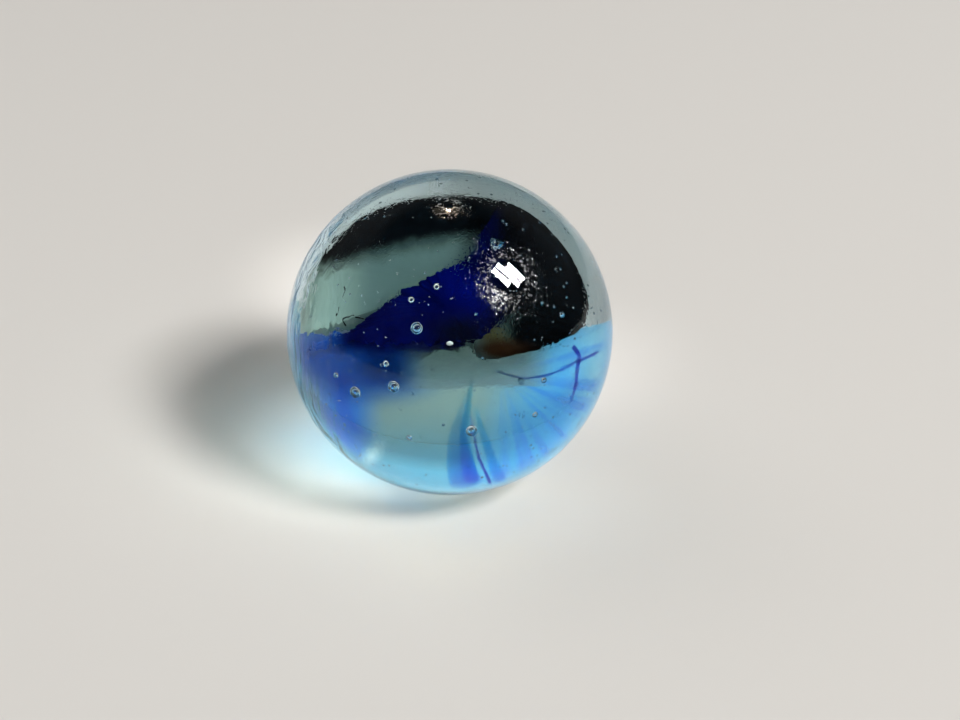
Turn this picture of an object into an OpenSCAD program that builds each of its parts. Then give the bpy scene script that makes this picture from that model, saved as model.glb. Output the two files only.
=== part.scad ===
// Glass marble: one solid ball of soda-lime glass with a coloured swirl melted
// into it. The gas bubbles that were trapped when the gob was cut and rolled
// are sealed round voids in the glass.
// The origin is the ball's centre, +Z is up, and the front faces -Y.

/* [Ball] */
// Diameter of the ball
ball_d = 15.5; // [12:0.5:25]

/* [Bubbles] */
// Diameter of the large bubbles
bubble_d = 0.5; // [0.3:0.05:0.7]
// Diameter of the small bubbles
seed_d = 0.25; // [0.1:0.05:0.35]
// Least thickness of glass between a bubble and the skin
cover = 1; // [0.6:0.1:1.5]

/* [Hidden] */
$fn = 96;

ball_r = ball_d / 2;

// Each bubble is [azimuth, elevation, depth under the cover]. Azimuth runs
// from the front (-Y) towards +X, and both angles are in degrees.
BUBBLES = [
    [39, 61, 0.1],
    [-16, 31, 0.9],
    [-23, 6, 0.6],
    [8, -11, 0.3],
    [-38, 1, 0.1]
];
SEEDS = [
    [-47, 5, 0.1],
    [-24, 43, 1.6],
    [-10, 52, 2],
    [34, -9, 0.4],
    [39, 4, 0.6],
    [-31, 12, 1.7],
    [-18, -19, 1],
    [56, 25, 0.6]
];

// Direction of a bubble from the ball's centre, as a rotation of +X
function aim(b) = [0, -b[1], b[0] - 90];

// One round void of diameter d, with its skin side b[2] under the cover
module void_at(b, d) {
    rotate(aim(b)) translate([ball_r - cover - b[2] - d / 2, 0, 0]) sphere(d = d);
}

// All the gas trapped in the glass
module gas() {
    for (b = BUBBLES) void_at(b, bubble_d);
    for (b = SEEDS) void_at(b, seed_d);
}

// The ball, fused in one piece from clear and coloured glass
module marble() {
    color([0.3, 0.55, 0.85]) difference() {
        sphere(d = ball_d);
        gas();
    }
}

marble();
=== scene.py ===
"""Looks of a glass marble: a ball of clear soda-lime glass with a dark cobalt swirl inside.

Everything is in metres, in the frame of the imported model: origin at the ball's
centre, +Z up, front towards -Y. The swirl is laid out in a frame of its own, in
units of the ball's radius: x to the right, y into the ball, z up its face. It is
then turned and scaled into the ball.
"""

import math

import bmesh
import bpy
from mathutils import Matrix, Vector, noise


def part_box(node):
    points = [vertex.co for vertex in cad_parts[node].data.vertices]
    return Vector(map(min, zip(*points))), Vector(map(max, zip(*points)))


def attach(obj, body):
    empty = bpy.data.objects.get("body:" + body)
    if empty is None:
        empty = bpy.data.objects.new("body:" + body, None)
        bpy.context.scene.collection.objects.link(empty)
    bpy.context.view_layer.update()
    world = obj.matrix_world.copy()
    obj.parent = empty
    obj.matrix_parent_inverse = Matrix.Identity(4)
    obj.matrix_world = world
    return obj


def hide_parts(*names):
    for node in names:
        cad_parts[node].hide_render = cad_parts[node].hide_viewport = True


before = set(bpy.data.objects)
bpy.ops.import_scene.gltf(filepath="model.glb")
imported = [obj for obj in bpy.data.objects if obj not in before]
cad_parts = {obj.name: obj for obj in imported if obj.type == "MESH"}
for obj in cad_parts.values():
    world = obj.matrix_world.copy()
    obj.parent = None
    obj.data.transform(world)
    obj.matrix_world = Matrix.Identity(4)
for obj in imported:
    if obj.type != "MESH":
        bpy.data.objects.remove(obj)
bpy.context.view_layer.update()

MM = 0.001
BODY = "root"

# ---------------------------------------------------------------- sizes

ball_low, ball_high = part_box("marble")
BALL_R = (ball_high.z - ball_low.z) / 2

SWIRL_TILT = math.radians(30)  # the swirl's face looks up by this much
SWIRL = Matrix.Rotation(-SWIRL_TILT, 4, "X") @ Matrix.Scale(BALL_R, 4)

# The skin is worn round the spot that mirrors the windows, and round the one that mirrors the top lamp.
WORN_PATCH = Vector((0.335, -0.61, 0.718)) * BALL_R
WORN_TOP = Vector((0.0, -0.233, 0.972)) * BALL_R

CAMERA_ELEVATION = math.radians(30)
CAMERA_DISTANCE = 84 * MM
CAMERA_LENS = 66
VIEW_RIGHT = 1.42 * MM  # the middle of the view lies this far to the right of the ball's centre
VIEW_BELOW = 1.33 * MM  # and this far below it

FLOOR_R = 0.5


# ---------------------------------------------------------------- helpers


def linear(colour):
    """Linear RGBA of an sRGB hex colour such as "#1a2b3c"."""
    parts = [int(colour[i : i + 2], 16) / 255 for i in (1, 3, 5)]
    return [c / 12.92 if c <= 0.04045 else ((c + 0.055) / 1.055) ** 2.4 for c in parts] + [1.0]


def add(tree, kind, links=None, **settings):
    """Adds a node. links maps input names or numbers to sockets or values. settings are its properties."""
    node = tree.nodes.new(kind)
    for name, value in settings.items():
        setattr(node, name, value)
    for key, value in (links or {}).items():
        socket = node.inputs[key]
        if isinstance(value, bpy.types.NodeSocket):
            tree.links.new(value, socket)
        else:
            socket.default_value = value
    return node


def new_material(name):
    """An empty node material, its tree and its output node."""
    material = bpy.data.materials.new(name)
    material.use_nodes = True
    tree = material.node_tree
    tree.nodes.clear()
    return material, tree, add(tree, "ShaderNodeOutputMaterial")


def mesh_object(name, build, material, place=None):
    """A smooth object at the origin whose mesh is what build(bm) makes, turned and scaled by place."""
    bm = bmesh.new()
    build(bm)
    if place is not None:
        bm.transform(place)
    mesh = bpy.data.meshes.new(name)
    bm.to_mesh(mesh)
    bm.free()
    mesh.materials.append(material)
    mesh.shade_smooth()
    obj = bpy.data.objects.new(name, mesh)
    bpy.context.scene.collection.objects.link(obj)
    return obj


def smooth_loop(points, steps):
    """A closed smooth curve through the points, with that many steps between two of them."""
    count, made = len(points), []
    for i in range(count):
        a, b, c, d = (Vector(points[(i + k) % count]) for k in (-1, 0, 1, 2))
        for s in range(steps):
            t = s / steps
            square = (2 * a - 5 * b + 4 * c - d) * t * t
            cube = (3 * b - a - 3 * c + d) * t**3
            made.append(0.5 * (2 * b + (c - a) * t + square + cube))
    return made


def lens(bm, outline, heart, depth, front, back, rings=20, ragged=0.0, seed=0.0):
    """A closed lens of glass with a round edge. outline goes round it in x and z, heart is a point inside
    that sees all of it, depth(x, z) is where its middle lies in y, and front and back are how far it bulges
    each way. ragged roughens the outline by that much."""
    heart = Vector(heart)
    rims = []
    for p in outline:
        shake = noise.fractal(Vector((p.x * 24, p.y * 24, seed)), 0.6, 2.0, 4) * ragged
        rims.append(p + (p - heart).normalized() * shake)
    count = len(rims)

    def ring(t, side):
        bulge = (front if side < 0 else back) * max(1 - t * t, 0.0) ** 0.5
        made = []
        for p in rims:
            q = heart.lerp(p, t)
            made.append(bm.verts.new((q.x, depth(q.x, q.y) + side * bulge, q.y)))
        return made

    def tip(side):
        return bm.verts.new((heart.x, depth(*heart) + side * (front if side < 0 else back), heart.y))

    rim = ring(1.0, 1)
    for side in (-1, 1):
        pole = tip(side)
        last = None
        for k in range(1, rings + 1):
            here = rim if k == rings else ring(math.sin(math.pi / 2 * k / rings), side)
            for i in range(count):
                j = (i + 1) % count
                if last is None:
                    bm.faces.new((pole, here[i], here[j]))
                else:
                    bm.faces.new((last[i], here[i], here[j], last[j]))
            last = here
    bmesh.ops.recalc_face_normals(bm, faces=bm.faces)


def swirl_place(tree):
    """Sockets of a point's place in the swirl's frame, in ball radii: all of it, its x and its z."""
    turned = add(
        tree,
        "ShaderNodeMapping",
        {
            "Vector": add(tree, "ShaderNodeTexCoord").outputs["Object"],
            "Rotation": (SWIRL_TILT, 0, 0),
            "Scale": (1 / BALL_R,) * 3,
        },
    ).outputs[0]
    split = add(tree, "ShaderNodeSeparateXYZ", {0: turned})
    return turned, split.outputs["X"], split.outputs["Z"]


def soft_patch(tree, place, centre, size, turn=0.0, fade=0.5):
    """1 in the middle of a soft oval in the swirl's x and z, and 0 outside it. turn is in degrees."""
    moved = add(
        tree,
        "ShaderNodeVectorMath",
        {0: place, 1: (centre[0], 0, centre[1])},
        operation="SUBTRACT",
    )
    laid = add(
        tree,
        "ShaderNodeVectorRotate",
        {"Vector": moved.outputs[0], "Axis": (0, 1, 0), "Angle": math.radians(turn)},
    )
    sized = add(
        tree,
        "ShaderNodeVectorMath",
        {0: laid.outputs[0], 1: (1 / size[0], 0, 1 / size[1])},
        operation="MULTIPLY",
    )
    far = add(tree, "ShaderNodeVectorMath", {0: sized.outputs[0]}, operation="LENGTH").outputs["Value"]
    return add(
        tree,
        "ShaderNodeMapRange",
        {"Value": far, "From Min": 1.0, "From Max": 1.0 - fade},
        interpolation_type="SMOOTHSTEP",
    ).outputs[0]


def laid_over(tree, base, *layers):
    """The socket of a base colour with others laid over it in turn. Each layer is how much of it shows,
    and its colour. A colour is a socket or sRGB hex."""
    for share, colour in layers:
        under, over = (c if isinstance(c, bpy.types.NodeSocket) else linear(c) for c in (base, colour))
        base = add(tree, "ShaderNodeMix", {0: share, 6: under, 7: over}, data_type="RGBA").outputs[2]
    return base


# ---------------------------------------------------------------- materials


def ridge(tree, place, spacing, stretch, seed, width):
    """Thin winding lines over the skin, 1 on a line and 0 off it. spacing is in metres."""
    bent = add(
        tree,
        "ShaderNodeMapping",
        {"Vector": place, "Location": (seed,) * 3, "Scale": [k / spacing for k in stretch]},
    )
    waves = add(tree, "ShaderNodeTexNoise", {"Vector": bent.outputs[0], "Scale": 1.0, "Detail": 3.0})
    off = add(tree, "ShaderNodeMath", {0: waves.outputs[0], 1: 0.5}, operation="SUBTRACT").outputs[0]
    away = add(tree, "ShaderNodeMath", {0: off}, operation="ABSOLUTE").outputs[0]
    return add(
        tree,
        "ShaderNodeMapRange",
        {"Value": away, "From Min": width, "From Max": 0.0},
        interpolation_type="SMOOTHSTEP",
    ).outputs[0]


def near_patch(tree, place, centre, inner, outer):
    """1 within inner metres of a point of the skin, and 0 past outer."""
    gap = add(tree, "ShaderNodeVectorMath", {0: place, 1: centre}, operation="DISTANCE").outputs["Value"]
    return add(
        tree,
        "ShaderNodeMapRange",
        {"Value": gap, "From Min": outer, "From Max": inner},
        interpolation_type="SMOOTHSTEP",
    ).outputs[0]


def clear_glass():
    """Soda-lime glass, fire polished: clear, aqua in the depth. Its skin has hairline scuffs, fine pits and a
    frosting that crowd where it has rolled most, and cold wrinkles on the side that was sheared off first."""
    material, tree, out = new_material("soda_lime_glass")
    place = add(tree, "ShaderNodeTexCoord").outputs["Object"]
    worn = add(tree, "ShaderNodeTexNoise", {"Vector": place, "Scale": 1 / (2.2 * MM), "Detail": 2.0})
    wear = add(
        tree,
        "ShaderNodeMapRange",
        {"Value": worn.outputs[0], "From Min": 0.42, "From Max": 0.62, "To Min": 0.0, "To Max": 0.25},
    ).outputs[0]
    rubbed = near_patch(tree, place, WORN_PATCH, 1.2 * MM, 3.6 * MM)
    wear = add(tree, "ShaderNodeMath", {0: wear, 1: rubbed}, operation="MAXIMUM").outputs[0]
    for middle, inner, outer in ((WORN_PATCH, 1.0 * MM, 1.5 * MM), (WORN_TOP, 0.3 * MM, 0.6 * MM)):
        links = {0: wear, 1: near_patch(tree, place, middle, inner, outer)}
        wear = add(tree, "ShaderNodeMath", links, operation="SUBTRACT", use_clamp=True).outputs[0]
    lines = ridge(tree, place, 1.3 * MM, (1.0, 0.55, 0.8), 1.7, 0.03)
    for spacing, stretch, seed in ((1.1 * MM, (0.6, 1.0, 0.9), 8.3), (0.7 * MM, (0.9, 0.8, 0.5), 15.1)):
        line = ridge(tree, place, spacing, stretch, seed, 0.04)
        lines = add(tree, "ShaderNodeMath", {0: lines, 1: line}, operation="MAXIMUM").outputs[0]
    scuffs = add(tree, "ShaderNodeMath", {0: lines, 1: wear}, operation="MULTIPLY").outputs[0]
    cells = add(tree, "ShaderNodeTexVoronoi", {"Vector": place, "Scale": 1 / (0.14 * MM)})
    pits = add(
        tree,
        "ShaderNodeMapRange",
        {"Value": cells.outputs["Distance"], "From Min": 0.33, "From Max": 0.05},
        interpolation_type="SMOOTHSTEP",
    ).outputs[0]
    pits = add(tree, "ShaderNodeMath", {0: pits, 1: wear}, operation="MULTIPLY").outputs[0]
    drawn = add(tree, "ShaderNodeMapping", {"Vector": place, "Scale": [k / MM for k in (1.6, 0.9, 0.35)]})
    folds = add(
        tree,
        "ShaderNodeTexNoise",
        {"Vector": drawn.outputs[0], "Scale": 1.0, "Detail": 2.0, "Distortion": 0.6},
    ).outputs[0]
    side = add(tree, "ShaderNodeSeparateXYZ", {0: place})
    chilled = add(
        tree,
        "ShaderNodeMapRange",
        {"Value": side.outputs["X"], "From Min": -0.45 * BALL_R, "From Max": -0.9 * BALL_R},
        interpolation_type="SMOOTHSTEP",
    ).outputs[0]
    wrinkles = add(tree, "ShaderNodeMath", {0: folds, 1: chilled}, operation="MULTIPLY").outputs[0]
    # how far each stands out of the skin in mm: scuffs and pits are sunk into it
    normal = None
    for height, depth in ((scuffs, -0.008), (pits, -0.012), (wrinkles, 0.12)):
        links = {"Strength": 1.0, "Distance": abs(depth) * MM, "Height": height}
        if normal:
            links["Normal"] = normal
        normal = add(tree, "ShaderNodeBump", links, invert=depth < 0).outputs[0]
    glass = add(
        tree,
        "ShaderNodeBsdfPrincipled",
        {
            "Base Color": linear("#ffffff"),
            "Roughness": frosting(tree, place),
            "IOR": 1.52,
            "Transmission Weight": 1.0,
            "Specular Tint": linear("#b0b0b0"),
            "Normal": normal,
        },
    )
    # what the lamps send through the ball to the floor is dimmed and a little warm
    lamp_light = add(tree, "ShaderNodeBsdfTransparent", {"Color": linear("#8c8882")})
    path = add(tree, "ShaderNodeLightPath")
    mix = add(
        tree,
        "ShaderNodeMixShader",
        {0: path.outputs["Is Shadow Ray"], 1: glass.outputs[0], 2: lamp_light.outputs[0]},
    )
    depth = add(tree, "ShaderNodeVolumeAbsorption", {"Color": linear("#95d4dd"), "Density": 0.045 / MM})
    tree.links.new(mix.outputs[0], out.inputs["Surface"])
    tree.links.new(depth.outputs[0], out.inputs["Volume"])
    return material


def frosting(tree, place):
    """How rough the skin is: frosted in grains round the two worn places, and polished in their middles and
    everywhere else. Real grains are a few hundredths of a millimetre, and these are coarser so that they
    show."""
    grains = add(
        tree,
        "ShaderNodeTexNoise",
        {"Vector": place, "Scale": 1 / (0.13 * MM), "Detail": 3.0, "Roughness": 0.75},
    ).outputs[0]
    grains = add(tree, "ShaderNodeMapRange", {"Value": grains, "From Min": 0.48, "From Max": 0.66}).outputs[0]
    wide = near_patch(tree, place, WORN_PATCH, 0.7 * MM, 2.3 * MM)
    top = near_patch(tree, place, WORN_TOP, 0.2 * MM, 1.5 * MM)
    rough = add(tree, "ShaderNodeMath", {0: wide, 1: top}, operation="MAXIMUM").outputs[0]
    for middle, inner, outer in ((WORN_PATCH, 0.74 * MM, 0.94 * MM), (WORN_TOP, 0.12 * MM, 0.24 * MM)):
        links = {0: rough, 1: near_patch(tree, place, middle, inner, outer)}
        rough = add(tree, "ShaderNodeMath", links, operation="SUBTRACT", use_clamp=True).outputs[0]
    rough = add(tree, "ShaderNodeMath", {0: rough, 1: grains}, operation="MULTIPLY").outputs[0]
    return add(tree, "ShaderNodeMath", {0: rough, 1: 0.5}, operation="MULTIPLY").outputs[0]


def tinted_wisp(name, colour, strength):
    """Thin coloured glass drawn out in the clear: it colours the light by how far the light runs in it."""
    material, tree, out = new_material(name)
    through = add(tree, "ShaderNodeBsdfTransparent")
    depth = add(tree, "ShaderNodeVolumeAbsorption", {"Color": linear(colour), "Density": strength / MM})
    tree.links.new(through.outputs[0], out.inputs["Surface"])
    tree.links.new(depth.outputs[0], out.inputs["Volume"])
    return material


def fused_colour(name, colour_of, thins_out=None):
    """Coloured glass fused in the clear, so it has no skin of its own to shine. thins_out says where it
    fades."""
    material, tree, out = new_material(name)
    shader = add(
        tree,
        "ShaderNodeBsdfPrincipled",
        {"Base Color": colour_of(tree), "Roughness": 1.0, "Specular IOR Level": 0.0},
    ).outputs[0]
    if thins_out:
        clear = add(tree, "ShaderNodeBsdfTransparent").outputs[0]
        shader = add(tree, "ShaderNodeMixShader", {0: thins_out(tree), 1: shader, 2: clear}).outputs[0]
    tree.links.new(shader, out.inputs["Surface"])
    return material


def film(name, colour_of, body_of, body_colour):
    """A film of tinted glass: it colours what is seen through it, and where body_of says it is cloudy it also
    catches the light."""
    material, tree, out = new_material(name)
    clear = add(tree, "ShaderNodeBsdfTransparent", {"Color": colour_of(tree)})
    lit = add(tree, "ShaderNodeBsdfDiffuse", {"Color": linear(body_colour)})
    through = add(tree, "ShaderNodeBsdfTranslucent", {"Color": linear(body_colour)})
    cloud = add(tree, "ShaderNodeMixShader", {0: 0.5, 1: lit.outputs[0], 2: through.outputs[0]})
    mix = add(tree, "ShaderNodeMixShader", {0: body_of(tree), 1: clear.outputs[0], 2: cloud.outputs[0]})
    tree.links.new(mix.outputs[0], out.inputs["Surface"])
    return material


def film_colour(tree):
    """Pale aqua glass: sky blue to the right in drawn rays, and cobalt down the left. Under the dark core it
    is greyer above a wavy edge: painted shade of a dim horizon seen through the glass."""
    place, x, z = swirl_place(tree)
    fan = fan_sector(tree)
    deep = add(
        tree,
        "ShaderNodeMapRange",
        {"Value": z, "From Min": -0.26, "From Max": -0.62},
        interpolation_type="SMOOTHSTEP",
    ).outputs[0]
    bright = add(
        tree,
        "ShaderNodeMapRange",
        {"Value": x, "From Min": 0.42, "From Max": 0.62},
        interpolation_type="SMOOTHSTEP",
    ).outputs[0]
    away = add(tree, "ShaderNodeVectorMath", {0: place, 1: (0.20, 0, -0.17)}, operation="SUBTRACT").outputs[0]
    split = add(tree, "ShaderNodeSeparateXYZ", {0: away})
    sides = {0: split.outputs["Z"], 1: split.outputs["X"]}
    angle = add(tree, "ShaderNodeMath", sides, operation="ARCTAN2").outputs[0]
    wide = add(tree, "ShaderNodeVectorMath", {0: away}, operation="LENGTH").outputs["Value"]
    polar = add(tree, "ShaderNodeCombineXYZ", {"X": angle, "Y": wide})
    stretched = add(tree, "ShaderNodeMapping", {"Vector": polar.outputs[0], "Scale": (6.0, 0.8, 1.0)})
    drawn = add(tree, "ShaderNodeTexNoise", {"Vector": stretched.outputs[0], "Scale": 1.0, "Detail": 3.0})
    rays = add(
        tree,
        "ShaderNodeMapRange",
        {"Value": drawn.outputs[0], "From Min": 0.45, "From Max": 0.68},
        interpolation_type="SMOOTHSTEP",
    ).outputs[0]
    rays = add(tree, "ShaderNodeMath", {0: rays, 1: fan}, operation="MULTIPLY").outputs[0]
    column = soft_patch(tree, place, (-0.43, -0.31), (0.18, 0.36), turn=4, fade=0.9)
    under = soft_patch(tree, place, (-0.38, -0.10), (0.45, 0.22), turn=-6, fade=0.65)
    deepest = soft_patch(tree, place, (-0.24, -0.13), (0.22, 0.12), turn=-6, fade=0.9)
    tints = laid_over(
        tree,
        "#d2e2de",
        (deep, "#aee2f4"),
        (fan, "#8edeff"),
        (bright, "#e0ffff"),
        (rays, "#74c0fc"),
        (column, "#74bcff"),
        (under, "#4c92d8"),
        (deepest, "#306aa6"),
    )
    inside = soft_patch(tree, place, (0.0, 0.0), (0.68, 0.68), fade=0.11)
    # A paler patch, where the film tints the light less.
    paler_patch = soft_patch(tree, place, (-0.32, -0.49), (0.12, 0.055), turn=50, fade=1.0)
    # Painted shade: above a wavy edge under the dark core the film turns greyer, standing for a dim horizon
    # seen through the glass.
    depth = add(tree, "ShaderNodeMapRange", {"Value": z, "From Min": -0.22, "From Max": -0.08}).outputs[0]
    painted_horizon_tint = laid_over(tree, "#bccdcf", (depth, "#a2b0ac"))
    wave = add(tree, "ShaderNodeTexNoise", {"Vector": place, "Scale": 5.0, "Detail": 3.0}).outputs[0]
    edge = add(tree, "ShaderNodeMath", {0: wave, 1: 0.03, 2: z}, operation="MULTIPLY_ADD").outputs[0]
    above = add(
        tree,
        "ShaderNodeMapRange",
        {"Value": edge, "From Min": -0.208, "From Max": -0.196},
        interpolation_type="SMOOTHSTEP",
    ).outputs[0]
    span = soft_patch(tree, place, (0.10, -0.12), (0.34, 0.40), fade=0.5)
    painted_horizon_mask = add(tree, "ShaderNodeMath", {0: above, 1: span}, operation="MULTIPLY").outputs[0]
    return laid_over(tree, "#c8f2ff", (inside, tints), (paler_patch, "#e8fbff"), (painted_horizon_mask, painted_horizon_tint))


def fan_sector(tree):
    """1 in the lower right of the swirl, fading to 0 towards its middle."""
    place, _, _ = swirl_place(tree)
    links = {0: place, 1: (0.85, 0, -0.35)}
    along = add(tree, "ShaderNodeVectorMath", links, operation="DOT_PRODUCT").outputs["Value"]
    return add(
        tree,
        "ShaderNodeMapRange",
        {"Value": along, "From Min": 0.15, "From Max": 0.50},
        interpolation_type="SMOOTHSTEP",
    ).outputs[0]


def film_cloud(tree):
    """How cloudy the film is: most where it is sky blue."""
    links = {0: fan_sector(tree), 1: 0.22, 2: 0.03}
    return add(tree, "ShaderNodeMath", links, operation="MULTIPLY_ADD").outputs[0]


def band_margin(tree):
    """Where the cobalt band thins out: along its lower left edge, in grains."""
    place, _, z = swirl_place(tree)
    links = {"Vector": place, "Scale": 14.0, "Detail": 4.0, "Roughness": 0.7}
    grain = add(tree, "ShaderNodeTexNoise", links).outputs[0]
    uneven = add(tree, "ShaderNodeMath", {0: grain, 1: 0.12, 2: z}, operation="MULTIPLY_ADD").outputs[0]
    return add(
        tree,
        "ShaderNodeMapRange",
        {"Value": uneven, "From Min": 0.03, "From Max": -0.08},
        interpolation_type="SMOOTHSTEP",
    ).outputs[0]


def dark_colour(tree):
    """Painted shade and a painted reflection: near black, which stands for dark surroundings seen through
    clear glass, with a green-grey sheen painted over its upper left and paler to the left, which stands for a
    lit sheen on those surroundings, and an amber tip where it runs thin."""
    place, x, z = swirl_place(tree)
    links = {"Vector": place, "Scale": 9.0, "Detail": 4.0, "Roughness": 0.6}
    grain = add(tree, "ShaderNodeTexNoise", links).outputs[0]
    slope = add(tree, "ShaderNodeMath", {0: x, 1: 0.13, 2: 0.395}, operation="MULTIPLY_ADD").outputs[0]
    square = add(tree, "ShaderNodeMath", {0: x, 1: x}, operation="MULTIPLY").outputs[0]
    top = add(tree, "ShaderNodeMath", {0: square, 1: -0.14, 2: slope}, operation="MULTIPLY_ADD").outputs[0]
    under = add(tree, "ShaderNodeMath", {0: top, 1: z}, operation="SUBTRACT").outputs[0]
    uneven = add(tree, "ShaderNodeMath", {0: grain, 1: 0.08, 2: under}, operation="MULTIPLY_ADD").outputs[0]
    # Painted reflection: a green-grey sheen over the upper left, paler towards the left edge, standing for a
    # lit sheen seen through the glass.
    painted_sheen = add(
        tree,
        "ShaderNodeMapRange",
        {"Value": uneven, "From Min": -0.01, "From Max": 0.10},
        interpolation_type="SMOOTHSTEP",
    ).outputs[0]
    left = add(
        tree,
        "ShaderNodeMapRange",
        {"Value": x, "From Min": 0.30, "From Max": 0.10},
        interpolation_type="SMOOTHSTEP",
    ).outputs[0]
    painted_sheen = add(tree, "ShaderNodeMath", {0: painted_sheen, 1: left}, operation="MULTIPLY").outputs[0]
    paler_left = add(
        tree,
        "ShaderNodeMapRange",
        {"Value": x, "From Min": -0.30, "From Max": -0.62},
        interpolation_type="SMOOTHSTEP",
    ).outputs[0]
    green = laid_over(tree, "#4b5f5d", (paler_left, "#90a59b"))
    olive = soft_patch(tree, place, (0.16, 0.0), (0.18, 0.07), turn=-40, fade=0.8)
    amber = soft_patch(tree, place, (0.21, -0.075), (0.19, 0.07), turn=-4, fade=0.8)
    return laid_over(tree, "#04070a", (painted_sheen, green), (olive, "#3b3a26"), (amber, "#2a190c"))


def cobalt_colour(tree):
    """Cobalt glass so deep that it is navy: it glows where it runs thin and goes to black where it is
    thick."""
    place, x, _ = swirl_place(tree)
    links = {"Vector": place, "Scale": 7.0, "Detail": 5.0, "Roughness": 0.65}
    grain = add(tree, "ShaderNodeTexNoise", links).outputs[0]
    specks = add(tree, "ShaderNodeMapRange", {"Value": grain, "From Min": 0.35, "From Max": 0.70}).outputs[0]
    glow = soft_patch(tree, place, (0.04, 0.22), (0.24, 0.13), turn=-35, fade=0.9)
    thin = soft_patch(tree, place, (-0.45, -0.14), (0.40, 0.10), turn=-8, fade=0.8)
    thick = add(
        tree,
        "ShaderNodeMapRange",
        {"Value": x, "From Min": 0.10, "From Max": 0.28},
        interpolation_type="SMOOTHSTEP",
    ).outputs[0]
    low = soft_patch(tree, place, (0.04, 0.0), (0.20, 0.12), fade=0.9)
    tip = add(
        tree,
        "ShaderNodeMapRange",
        {"Value": x, "From Min": -0.46, "From Max": -0.62},
        interpolation_type="SMOOTHSTEP",
    ).outputs[0]
    return laid_over(
        tree,
        "#000228",
        (specks, "#010639"),
        (glow, "#010646"),
        (thin, "#0a2c70"),
        (tip, "#123c84"),
        (low, "#030616"),
        (thick, "#030508"),
    )


# ---------------------------------------------------------------- the glass ball


GLASS = clear_glass()


def voids(node):
    """Centre and radius of each sealed bubble in a CAD node's mesh: every island but the outer skin."""
    bm = bmesh.new()
    bm.from_mesh(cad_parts[node].data)
    bmesh.ops.remove_doubles(bm, verts=bm.verts, dist=1e-7)
    left, found = set(bm.verts), []
    while left:
        island, stack = [], [left.pop()]
        while stack:
            v = stack.pop()
            island.append(v.co.copy())
            for e in v.link_edges:
                w = e.other_vert(v)
                if w in left:
                    left.remove(w)
                    stack.append(w)
        low = Vector([min(p[k] for p in island) for k in range(3)])
        high = Vector([max(p[k] for p in island) for k in range(3)])
        # a round void's box is 2 * sqrt(3) radii from corner to corner
        found.append(((low + high) / 2, (high - low).length / math.sqrt(12)))
    bm.free()
    return sorted(found, key=lambda f: -f[1])[1:]


def seed_tree():
    """Geometry Nodes: fine gas seeds scattered through the glass, as voids whose faces look into the gas."""
    tree = bpy.data.node_groups.new("gas_seeds", "GeometryNodeTree")
    face = tree.interface
    face.new_socket("Geometry", in_out="INPUT", socket_type="NodeSocketGeometry")
    for name, kind, value in (
        ("Count", "NodeSocketInt", 600),
        ("Deepest place", "NodeSocketFloat", 0.45),
        ("Shallowest place", "NodeSocketFloat", 0.965),
        ("Ball radius", "NodeSocketFloat", BALL_R),
        ("Smallest radius", "NodeSocketFloat", 0.022 * MM),
        ("Largest radius", "NodeSocketFloat", 0.075 * MM),
        ("Seed", "NodeSocketInt", 11),
    ):
        face.new_socket(name, in_out="INPUT", socket_type=kind).default_value = value
    face.new_socket("Geometry", in_out="OUTPUT", socket_type="NodeSocketGeometry")
    given = add(tree, "NodeGroupInput").outputs
    aim = add(
        tree,
        "FunctionNodeRandomValue",
        {"Min": (-1, -1, -1), "Max": (1, 1, 1), "Seed": given["Seed"]},
        data_type="FLOAT_VECTOR",
    ).outputs[0]
    unit = add(tree, "ShaderNodeVectorMath", {0: aim}, operation="NORMALIZE").outputs[0]
    share = add(
        tree,
        "FunctionNodeRandomValue",
        {2: given["Deepest place"], 3: given["Shallowest place"], "Seed": given["Seed"]},
        data_type="FLOAT",
    ).outputs[1]
    far = add(tree, "ShaderNodeMath", {0: share, 1: given["Ball radius"]}, operation="MULTIPLY").outputs[0]
    at = add(tree, "ShaderNodeVectorMath", {0: unit, "Scale": far}, operation="SCALE").outputs[0]
    points = add(tree, "GeometryNodePoints", {"Count": given["Count"], "Position": at}).outputs[0]
    gas = add(tree, "GeometryNodeMeshIcoSphere", {"Radius": 1.0, "Subdivisions": 2}).outputs[0]
    inside_out = add(tree, "GeometryNodeFlipFaces", {"Mesh": gas}).outputs[0]
    draw = add(
        tree,
        "FunctionNodeRandomValue",
        {2: 0.0, 3: 1.0, "Seed": given["Seed"]},
        data_type="FLOAT",
    ).outputs[1]
    rare = add(tree, "ShaderNodeMath", {0: draw, 1: 2.5}, operation="POWER").outputs[0]
    size = add(
        tree,
        "ShaderNodeMapRange",
        {"Value": rare, "To Min": given["Smallest radius"], "To Max": given["Largest radius"]},
    ).outputs[0]
    put = add(
        tree,
        "GeometryNodeInstanceOnPoints",
        {"Points": points, "Instance": inside_out, "Scale": size},
    ).outputs[0]
    real = add(tree, "GeometryNodeRealizeInstances", {0: put}).outputs[0]
    finish = add(tree, "GeometryNodeSetMaterial", {"Geometry": real, "Material": GLASS}).outputs[0]
    out = add(tree, "NodeGroupOutput")
    tree.links.new(finish, out.inputs[0])
    return tree


def grown(tree, host_mesh, **inputs):
    """The plain mesh that a Geometry Nodes tree makes from host_mesh. inputs are its inputs by name."""
    host = bpy.data.objects.new("host", host_mesh)
    bpy.context.scene.collection.objects.link(host)
    modifier = host.modifiers.new("grow", "NODES")
    modifier.node_group = tree
    for socket in tree.interface.items_tree:
        name = socket.name.replace(" ", "_").lower()
        if socket.in_out == "INPUT" and name in inputs:
            modifier[socket.identifier] = inputs[name]
    bpy.context.view_layer.update()
    made = bpy.data.meshes.new_from_object(host.evaluated_get(bpy.context.evaluated_depsgraph_get()))
    bpy.data.objects.remove(host)
    return made


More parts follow.
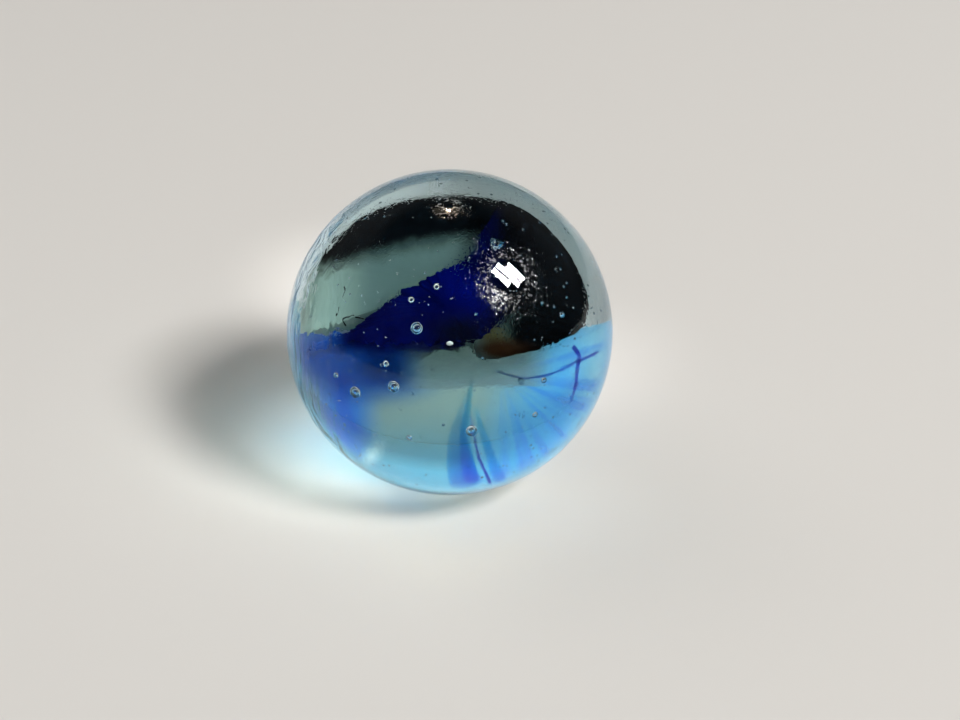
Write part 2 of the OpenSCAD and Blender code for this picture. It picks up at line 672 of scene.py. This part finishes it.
def build_ball(bm):
    """The skin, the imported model's bubbles and the fine seeds. The bubbles' faces look into the gas."""
    bmesh.ops.create_icosphere(bm, subdivisions=7, radius=BALL_R)
    for centre, radius in voids("marble"):
        place = Matrix.Translation(centre)
        made = bmesh.ops.create_icosphere(bm, subdivisions=4, radius=radius, matrix=place)
        faces = {f for v in made["verts"] for f in v.link_faces}
        bmesh.ops.reverse_faces(bm, faces=list(faces))
    bm.from_mesh(grown(seed_tree(), bpy.data.meshes.new("seed_host")))


ball = mesh_object("glass_ball", build_ball, GLASS)
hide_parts("marble")
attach(ball, BODY)


# ---------------------------------------------------------------- the swirl


def piece(name, build, material, place=SWIRL):
    """A piece inside the ball, laid out in the swirl's frame unless place says otherwise."""
    obj = mesh_object(name, build, material, place)
    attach(obj, BODY)
    return obj


# Outlines in x and z of the swirl's frame, each once round its piece.
DARK_OUTLINE = [
    (-0.64, 0.02), (-0.59, 0.22), (-0.47, 0.42), (-0.24, 0.54), (0.05, 0.56), (0.32, 0.50), (0.50, 0.32),
    (0.58, 0.12), (0.54, 0.01), (0.42, -0.05), (0.28, -0.09), (0.13, -0.11), (0.06, -0.05),
    (-0.12, -0.04), (-0.35, 0.01), (-0.60, 0.0),
]
BAND_OUTLINE = [
    (-0.70, -0.09), (-0.64, -0.04), (-0.55, -0.04), (-0.43, 0.03), (-0.31, 0.11), (-0.21, 0.18),
    (-0.07, 0.26), (0.03, 0.30), (0.12, 0.37), (0.14, 0.45), (0.20, 0.52), (0.24, 0.60),
    (0.38, 0.52), (0.40, 0.34), (0.32, 0.16), (0.20, 0.02), (0.06, -0.06), (-0.06, -0.08),
    (-0.16, -0.14), (-0.30, -0.17), (-0.48, -0.16), (-0.63, -0.14),
]
FILM_OUTLINE = [
    (-0.90, 0.14), (-0.60, 0.13), (-0.25, 0.07), (0.10, -0.02), (0.45, 0.0), (0.75, 0.06), (0.90, 0.08),
    (0.92, -0.12), (0.82, -0.42), (0.62, -0.69), (0.33, -0.87), (0.0, -0.93), (-0.33, -0.87),
    (-0.62, -0.69), (-0.82, -0.42), (-0.92, -0.12),
]
GLINT_OUTLINE = [
    (-0.016, -0.047), (-0.004, -0.040), (0.010, -0.043), (0.014, -0.053), (0.0, -0.060), (-0.014, -0.056),
]


def build_dark(bm):
    """A thick lens that bulges to the back."""
    lens(bm, smooth_loop(DARK_OUTLINE, 10), (0.0, 0.2), lambda x, z: 0.02, 0.14, 0.34, ragged=0.006)


def build_band(bm):
    """A thin ragged band in front of the dark core, whose ends curve away to the back."""
    rim = smooth_loop(BAND_OUTLINE, 22)
    lens(bm, rim, (0.0, 0.12), lambda x, z: -0.22 + 0.10 * x * x, 0.05, 0.05, ragged=0.020, seed=3.0)


def build_film(bm):
    """A thin film right across the lower half, dished towards the back at its rim."""
    rim = smooth_loop(FILM_OUTLINE, 10)
    lens(bm, rim, (0.0, -0.45), lambda x, z: 0.05 + 0.22 * (x * x + z * z), 0.02, 0.02)


def build_glint_speck(bm):
    """An off-white speck well in front of the band: a painted glint, where a bubble would mirror the light.
    """
    lens(bm, smooth_loop(GLINT_OUTLINE, 6), (0.0, -0.05), lambda x, z: -0.34, 0.012, 0.012, rings=6)


# The dark core is painted shade: an opaque near-black lens where clear glass would show dark surroundings.
piece("dark_swirl", build_dark, fused_colour("dark_bottle_glass", dark_colour))
piece("cobalt_band", build_band, fused_colour("cobalt_glass", cobalt_colour, band_margin))
piece("blue_film", build_film, film("drawn_blue_glass", film_colour, film_cloud, "#78ccff"))


def bloom_cloud(tree):
    """How thick the bloom is: in drawn streaks, and none at the edge of its patch."""
    place, _, _ = swirl_place(tree)
    drawn = add(tree, "ShaderNodeMapping", {"Vector": place, "Scale": (7.0, 9.0, 2.2)})
    links = {"Vector": drawn.outputs[0], "Scale": 1.0, "Detail": 4.0, "Distortion": 0.8}
    streaks = add(tree, "ShaderNodeTexNoise", links)
    thick = add(
        tree,
        "ShaderNodeMapRange",
        {"Value": streaks.outputs[0], "From Min": 0.44, "From Max": 0.62, "To Min": 0.02, "To Max": 0.55},
        interpolation_type="SMOOTHSTEP",
    ).outputs[0]
    links = {0: place, 1: (-0.95, 0.18, 0.14)}
    gap = add(tree, "ShaderNodeVectorMath", links, operation="DISTANCE").outputs["Value"]
    fade = add(
        tree,
        "ShaderNodeMapRange",
        {"Value": gap, "From Min": 0.70, "From Max": 0.25},
        interpolation_type="SMOOTHSTEP",
    ).outputs[0]
    return add(tree, "ShaderNodeMath", {0: thick, 1: fade}, operation="MULTIPLY").outputs[0]


def arc(radius, start, end, step):
    """Points of a round rim in x and z, every step degrees from start to just before end."""
    angles = [math.radians(a) for a in range(start, end, step)]
    return [Vector((math.cos(a), math.sin(a))) * radius for a in angles]


BLOOM_R = 0.985
BLOOM_TURN = Matrix.Rotation(math.radians(-79), 4, "Z") @ Matrix.Rotation(math.radians(-6), 4, "X")


def build_bloom(bm):
    """A round patch of shell just under the skin, laid out at the front and then turned to the left."""
    rim = arc(0.66, 0, 360, 5)
    lens(bm, rim, (0.0, 0.0), lambda x, z: -math.sqrt(BLOOM_R**2 - x * x - z * z), 0.002, 0.002)
    bmesh.ops.transform(bm, matrix=BLOOM_TURN, verts=bm.verts)


def pale_margin(tree):
    """How much of the pale rim shows: most on the left, and not at all on the right."""
    _, x, _ = swirl_place(tree)
    side = {"Value": x, "From Min": 0.20, "From Max": -0.45, "To Min": 0.0, "To Max": 0.7}
    return add(tree, "ShaderNodeMapRange", side, interpolation_type="SMOOTHSTEP").outputs[0]


def build_pale_rim(bm):
    """A thin half disc that stands a little out past the top of the dark core."""
    lens(bm, arc(0.655, 0, 181, 3), (0.0, 0.3), lambda x, z: 0.05, 0.01, 0.01)


def no_tint(tree):
    """Clear glass, which takes nothing out of the light."""
    return linear("#ffffff")


# A white haze in streaks just under the skin on the left: painted light, standing for the bright streaks seen
# along the left rim.
piece("chill_bloom", build_bloom, film("chilled_skin", no_tint, bloom_cloud, "#eef6fb"))
# A pale sheet just past the top of the dark core: a painted reflection, standing for the bright room seen
# through the glass there.
piece("pale_rim", build_pale_rim, film("pale_aqua_glass", no_tint, pale_margin, "#eaeeec"))
# A painted glint: an opaque off-white speck, where a bubble would mirror the light.
piece("white_stone", build_glint_speck, fused_colour("batch_stone", lambda tree: linear("#c9c8c0")))


def streak_tree():
    """Geometry Nodes: a thread of glass drawn out along a line of points, from one width to another."""
    tree = bpy.data.node_groups.new("drawn_streak", "GeometryNodeTree")
    face = tree.interface
    face.new_socket("Geometry", in_out="INPUT", socket_type="NodeSocketGeometry")
    for name in ("Start width", "End width"):
        face.new_socket(name, in_out="INPUT", socket_type="NodeSocketFloat").default_value = 0.2 * MM
    face.new_socket("Material", in_out="INPUT", socket_type="NodeSocketMaterial")
    face.new_socket("Geometry", in_out="OUTPUT", socket_type="NodeSocketGeometry")
    given = add(tree, "NodeGroupInput").outputs
    line = add(tree, "GeometryNodeMeshToCurve", {"Mesh": given["Geometry"]}).outputs[0]
    curve = add(tree, "GeometryNodeCurveSplineType", {"Curve": line}, spline_type="CATMULL_ROM").outputs[0]
    fine = add(tree, "GeometryNodeResampleCurve", {"Curve": curve, "Count": 60}).outputs[0]
    along = add(tree, "GeometryNodeSplineParameter").outputs["Factor"]
    width = add(
        tree,
        "ShaderNodeMapRange",
        {"Value": along, "To Min": given["Start width"], "To Max": given["End width"]},
    ).outputs[0]
    rounded = add(
        tree,
        "ShaderNodeMapRange",
        {"Value": along, "From Min": 1.0, "From Max": 0.94, "To Min": 0.15, "To Max": 0.5},
        interpolation_type="SMOOTHSTEP",
    ).outputs[0]
    radius = add(tree, "ShaderNodeMath", {0: width, 1: rounded}, operation="MULTIPLY").outputs[0]
    sized = add(tree, "GeometryNodeSetCurveRadius", {"Curve": fine, "Radius": radius}).outputs[0]
    section = add(tree, "GeometryNodeCurvePrimitiveCircle", {"Resolution": 16, "Radius": 1.0}).outputs[0]
    body = add(
        tree,
        "GeometryNodeCurveToMesh",
        {"Curve": sized, "Profile Curve": section, "Scale": radius, "Fill Caps": True},
    ).outputs[0]
    real = add(tree, "GeometryNodeRealizeInstances", {0: body}).outputs[0]
    links = {"Geometry": real, "Material": given["Material"]}
    finish = add(tree, "GeometryNodeSetMaterial", links).outputs[0]
    out = add(tree, "NodeGroupOutput")
    tree.links.new(finish, out.inputs[0])
    return tree


STREAK_TREE = streak_tree()


def streak(name, points, start, end, material):
    """A drawn thread of glass through points of the swirl's frame. start and end are its widths in ball
    radii."""
    path = bpy.data.meshes.new(name + "_path")
    places = [SWIRL @ Vector(p) for p in points]
    path.from_pydata(places, [(i, i + 1) for i in range(len(places) - 1)], [])
    thread = grown(STREAK_TREE, path, start_width=start * BALL_R, end_width=end * BALL_R, material=material)

    def build(bm):
        bm.from_mesh(thread)
        bmesh.ops.remove_doubles(bm, verts=bm.verts, dist=1e-7)
        bmesh.ops.recalc_face_normals(bm, faces=bm.faces)

    return piece(name, build, material, place=None)


# Cobalt glass drawn into the clear: a pale blue veil, a bright blue thread, and a fine line of strong navy.
COBALT_HALO = tinted_wisp("cobalt_halo_glass", "#38cbf8", 1.6)
COBALT_THREAD = tinted_wisp("cobalt_thread_glass", "#00dffe", 4.5)
COBALT_LINE = tinted_wisp("cobalt_line_glass", "#0081e7", 18.0)
# A cold fold in the glass, which throws the light aside: a near-black hairline.
CREASE = fused_colour("fold_crease", lambda tree: linear("#0b0d10"))

# Each streak's line, its width at the start and the end of it, and its glass.
STREAKS = {
    "streak_main": (
        [(0.095, -0.20, -0.21), (0.08, -0.22, -0.31), (0.065, -0.25, -0.43), (0.07, -0.27, -0.56),
         (0.09, -0.29, -0.70), (0.12, -0.28, -0.82)],
        0.016, 0.10, COBALT_THREAD,
    ),
    "streak_main_halo": (
        [(0.08, -0.18, -0.25), (0.05, -0.20, -0.36), (0.03, -0.22, -0.50), (0.05, -0.24, -0.68),
         (0.09, -0.26, -0.84)],
        0.02, 0.20, COBALT_HALO,
    ),
    "streak_thin": (
        [(0.09, -0.25, -0.38), (0.105, -0.25, -0.47), (0.13, -0.25, -0.59), (0.18, -0.25, -0.73),
         (0.22, -0.25, -0.85)],
        0.010, 0.022, COBALT_LINE,
    ),
    "streak_right": (
        [(0.11, -0.20, -0.33), (0.14, -0.20, -0.45), (0.17, -0.20, -0.53), (0.20, -0.20, -0.63),
         (0.27, -0.20, -0.82)],
        0.02, 0.08, COBALT_THREAD,
    ),
    "thread_across": (
        [(0.20, -0.15, -0.17), (0.30, -0.15, -0.20), (0.38, -0.15, -0.20), (0.48, -0.15, -0.18),
         (0.58, -0.15, -0.14), (0.74, -0.15, -0.10)],
        0.008, 0.020, COBALT_LINE,
    ),
    "thread_down": (
        [(0.57, -0.20, -0.07), (0.61, -0.20, -0.12), (0.60, -0.20, -0.18), (0.60, -0.20, -0.25),
         (0.58, -0.20, -0.34)],
        0.028, 0.018, COBALT_LINE,
    ),
    "thread_left": (
        [(-0.35, 0.0, -0.44), (-0.44, 0.0, -0.36), (-0.47, 0.0, -0.26), (-0.44, 0.0, -0.16)],
        0.04, 0.10, COBALT_HALO,
    ),
}
CREASES = [
    [(-0.52, -0.45, 0.04), (-0.54, -0.45, 0.07), (-0.50, -0.45, 0.085), (-0.475, -0.45, 0.09)],
    [(-0.47, -0.45, 0.08), (-0.44, -0.45, 0.075), (-0.42, -0.45, 0.07)],
    [(-0.54, -0.45, 0.24), (-0.535, -0.45, 0.21), (-0.545, -0.45, 0.18)],
    [(-0.56, -0.45, 0.14), (-0.57, -0.45, 0.115), (-0.585, -0.45, 0.09)],
]
CREASE_START, CREASE_END = 0.009, 0.006

for name, (points, start, end, material) in STREAKS.items():
    streak(name, points, start, end, material)
for number, points in enumerate(CREASES):
    streak(f"crease_{number + 1}", points, CREASE_START, CREASE_END, CREASE)


# ---------------------------------------------------------------- stage


def build_studio(bm):
    """A wide round floor, on which the ball stands."""
    steps = 96
    rim = []
    for i in range(steps):
        turn = 2 * math.pi * i / steps
        rim.append(bm.verts.new((FLOOR_R * math.cos(turn), FLOOR_R * math.sin(turn), -BALL_R)))
    centre = bm.verts.new((0, 0, -BALL_R))
    for a, b in zip(rim, rim[1:] + rim[:1]):
        bm.faces.new((centre, a, b))


def matt_card():
    """Pale matt card, warm grey, that fades into the air of the studio far from the ball."""
    material, tree, out = new_material("matt_card")
    card = add(tree, "ShaderNodeBsdfPrincipled", {"Base Color": linear("#d8d4ce"), "Roughness": 0.9})
    nothing = add(tree, "ShaderNodeBsdfTransparent")
    place = add(tree, "ShaderNodeTexCoord").outputs["Object"]
    far = add(tree, "ShaderNodeVectorMath", {0: place}, operation="LENGTH").outputs["Value"]
    fade = add(
        tree,
        "ShaderNodeMapRange",
        {"Value": far, "From Min": 0.12, "From Max": 0.45},
        interpolation_type="SMOOTHSTEP",
    ).outputs[0]
    mix = add(tree, "ShaderNodeMixShader", {0: fade, 1: card.outputs[0], 2: nothing.outputs[0]})
    tree.links.new(mix.outputs[0], out.inputs["Surface"])
    return material


mesh_object("studio_floor", build_studio, matt_card())


def build_world():
    """Soft room light: dim at the horizon and overhead, bright between, brightest behind the ball on the
    left. The skin mirrors little of it, as in a room with dark things in front."""
    world = bpy.data.worlds.new("studio_air")
    bpy.context.scene.world = world
    world.use_nodes = True
    tree = world.node_tree
    tree.nodes.clear()
    aim = add(tree, "ShaderNodeSeparateXYZ", {0: add(tree, "ShaderNodeTexCoord").outputs["Generated"]})
    height = add(tree, "ShaderNodeValToRGB", {"Fac": aim.outputs["Z"]})
    ramp = height.color_ramp
    for stop, level in ((0.10, 0.50), (0.26, 0.95), (0.64, 1.0), (0.76, 0.05)):
        ramp.elements.new(stop).color = (level, level, level, 1)
    ramp.elements[0].color = (0.47, 0.47, 0.47, 1)
    ramp.elements[-1].color = (0.04, 0.04, 0.04, 1)
    behind = add(
        tree,
        "ShaderNodeMapRange",
        {"Value": aim.outputs["Y"], "From Min": -1.0, "From Max": 0.9, "To Min": 0.25, "To Max": 1.7},
    ).outputs[0]
    left = add(
        tree,
        "ShaderNodeMapRange",
        {"Value": aim.outputs["X"], "From Min": 0.8, "From Max": -0.5, "To Min": 0.8, "To Max": 1.1},
    ).outputs[0]
    share = add(tree, "ShaderNodeMath", {0: behind, 1: left}, operation="MULTIPLY").outputs[0]
    links = {0: height.outputs["Color"], 1: share}
    strength = add(tree, "ShaderNodeMath", links, operation="MULTIPLY").outputs[0]
    path = add(tree, "ShaderNodeLightPath")
    mirrored = add(
        tree,
        "ShaderNodeMapRange",
        {"Value": path.outputs["Is Reflection Ray"], "To Min": 1.0, "To Max": 0.09},
    ).outputs[0]
    strength = add(tree, "ShaderNodeMath", {0: strength, 1: mirrored}, operation="MULTIPLY").outputs[0]
    air = add(tree, "ShaderNodeBackground", {"Color": linear("#e4e4e2"), "Strength": strength})
    out = add(tree, "ShaderNodeOutputWorld")
    tree.links.new(air.outputs[0], out.inputs["Surface"])


build_world()


def aimed(name, data, place, target, roll=0.0, glint=False):
    """A lamp at place that looks at target. A glint is only mirrored in things, and other lamps only light
    them."""
    lamp = bpy.data.objects.new(name, data)
    bpy.context.scene.collection.objects.link(lamp)
    lamp.rotation_mode = "QUATERNION"
    turn = Matrix.Rotation(math.radians(roll), 3, "Z").to_quaternion()
    lamp.rotation_quaternion = (target - place).to_track_quat("-Z", "Y") @ turn
    lamp.location = place
    lamp.visible_glossy = glint
    lamp.visible_diffuse = not glint
    return lamp


def softbox(name, aim, distance, width, height, power, roll=0.0, colour="#ffffff", glint=False):
    """An area lamp that looks at the ball. aim is its azimuth and elevation in degrees: azimuth 0 is in
    front (-Y), and 90 is at +X."""
    a, e = (math.radians(angle) for angle in aim)
    place = Vector((math.sin(a) * math.cos(e), -math.cos(a) * math.cos(e), math.sin(e))) * distance
    data = bpy.data.lights.new(name, "AREA")
    data.shape = "RECTANGLE"
    data.size, data.size_y = width, height
    data.energy = power
    data.color = linear(colour)[:3]
    return aimed(name, data, place, Vector(), roll, glint)


def light_pool(name, place, target, width, power):
    """A spot lamp that lays a soft round pool of light, width metres across, on the floor behind the ball."""
    data = bpy.data.lights.new(name, "SPOT")
    data.energy = power
    place, target = Vector(place), Vector(target)
    data.spot_size = 2 * math.atan(width / 2 / (place - target).length)
    data.spot_blend = 1.0
    data.shadow_soft_size = 4 * MM
    return aimed(name, data, place, target)


# The window is three panes side by side, each with its length and how far it is slid along.
PANES = [(0.22, -0.035), (0.31, 0.0), (0.24, 0.035)]
PANE_WIDTH, PANE_PITCH = 0.076, 0.088

for number, (length, slide) in enumerate(PANES):
    pane = softbox(f"window_{number + 1}", (75, 51), 0.95, length, PANE_WIDTH, 5.5, roll=82, glint=True)
    pane.location += pane.rotation_quaternion @ Vector((slide, (number - 1) * PANE_PITCH, 0))
# Each lamp's aim, distance, width and height in metres, and power in watts.
softbox("top_light", (180, 57), 1.1, 0.04, 0.04, 2.0, colour="#ffe8c8", glint=True)
softbox("top_glow", (180, 57), 1.12, 0.30, 0.12, 0.16, colour="#b8b09c", glint=True)
softbox("key", (48, 45), 1.05, 0.25, 0.25, 12.5)
softbox("left_light", (-120, 48), 1.1, 0.75, 0.75, 1.9)
light_pool("pool_left", (-0.15, 0.35, 0.35), (-5.5 * MM, 18 * MM, -BALL_R), 10.5 * MM, 11.0)
light_pool("pool_right", (0.20, 0.30, 0.35), (6.5 * MM, 9 * MM, -BALL_R), 7 * MM, 5.0)

camera_data = bpy.data.cameras.new("camera")
camera_data.lens = CAMERA_LENS
camera_data.sensor_width = 36
camera_data.clip_start = 5 * MM
camera_data.clip_end = 10 * FLOOR_R
camera = bpy.data.objects.new("camera", camera_data)
bpy.context.scene.collection.objects.link(camera)
bpy.context.scene.camera = camera
back = Vector((0, -math.cos(CAMERA_ELEVATION), math.sin(CAMERA_ELEVATION)))
up = Vector((0, math.sin(CAMERA_ELEVATION), math.cos(CAMERA_ELEVATION)))
camera.location = back * CAMERA_DISTANCE
camera.rotation_mode = "QUATERNION"
middle = Vector((VIEW_RIGHT, 0, 0)) - up * VIEW_BELOW
camera.rotation_quaternion = (camera.location - middle).to_track_quat("Z", "Y")

bpy.context.scene.view_settings.view_transform = "Standard"
bpy.context.scene.cycles.transparent_max_bounces = 32
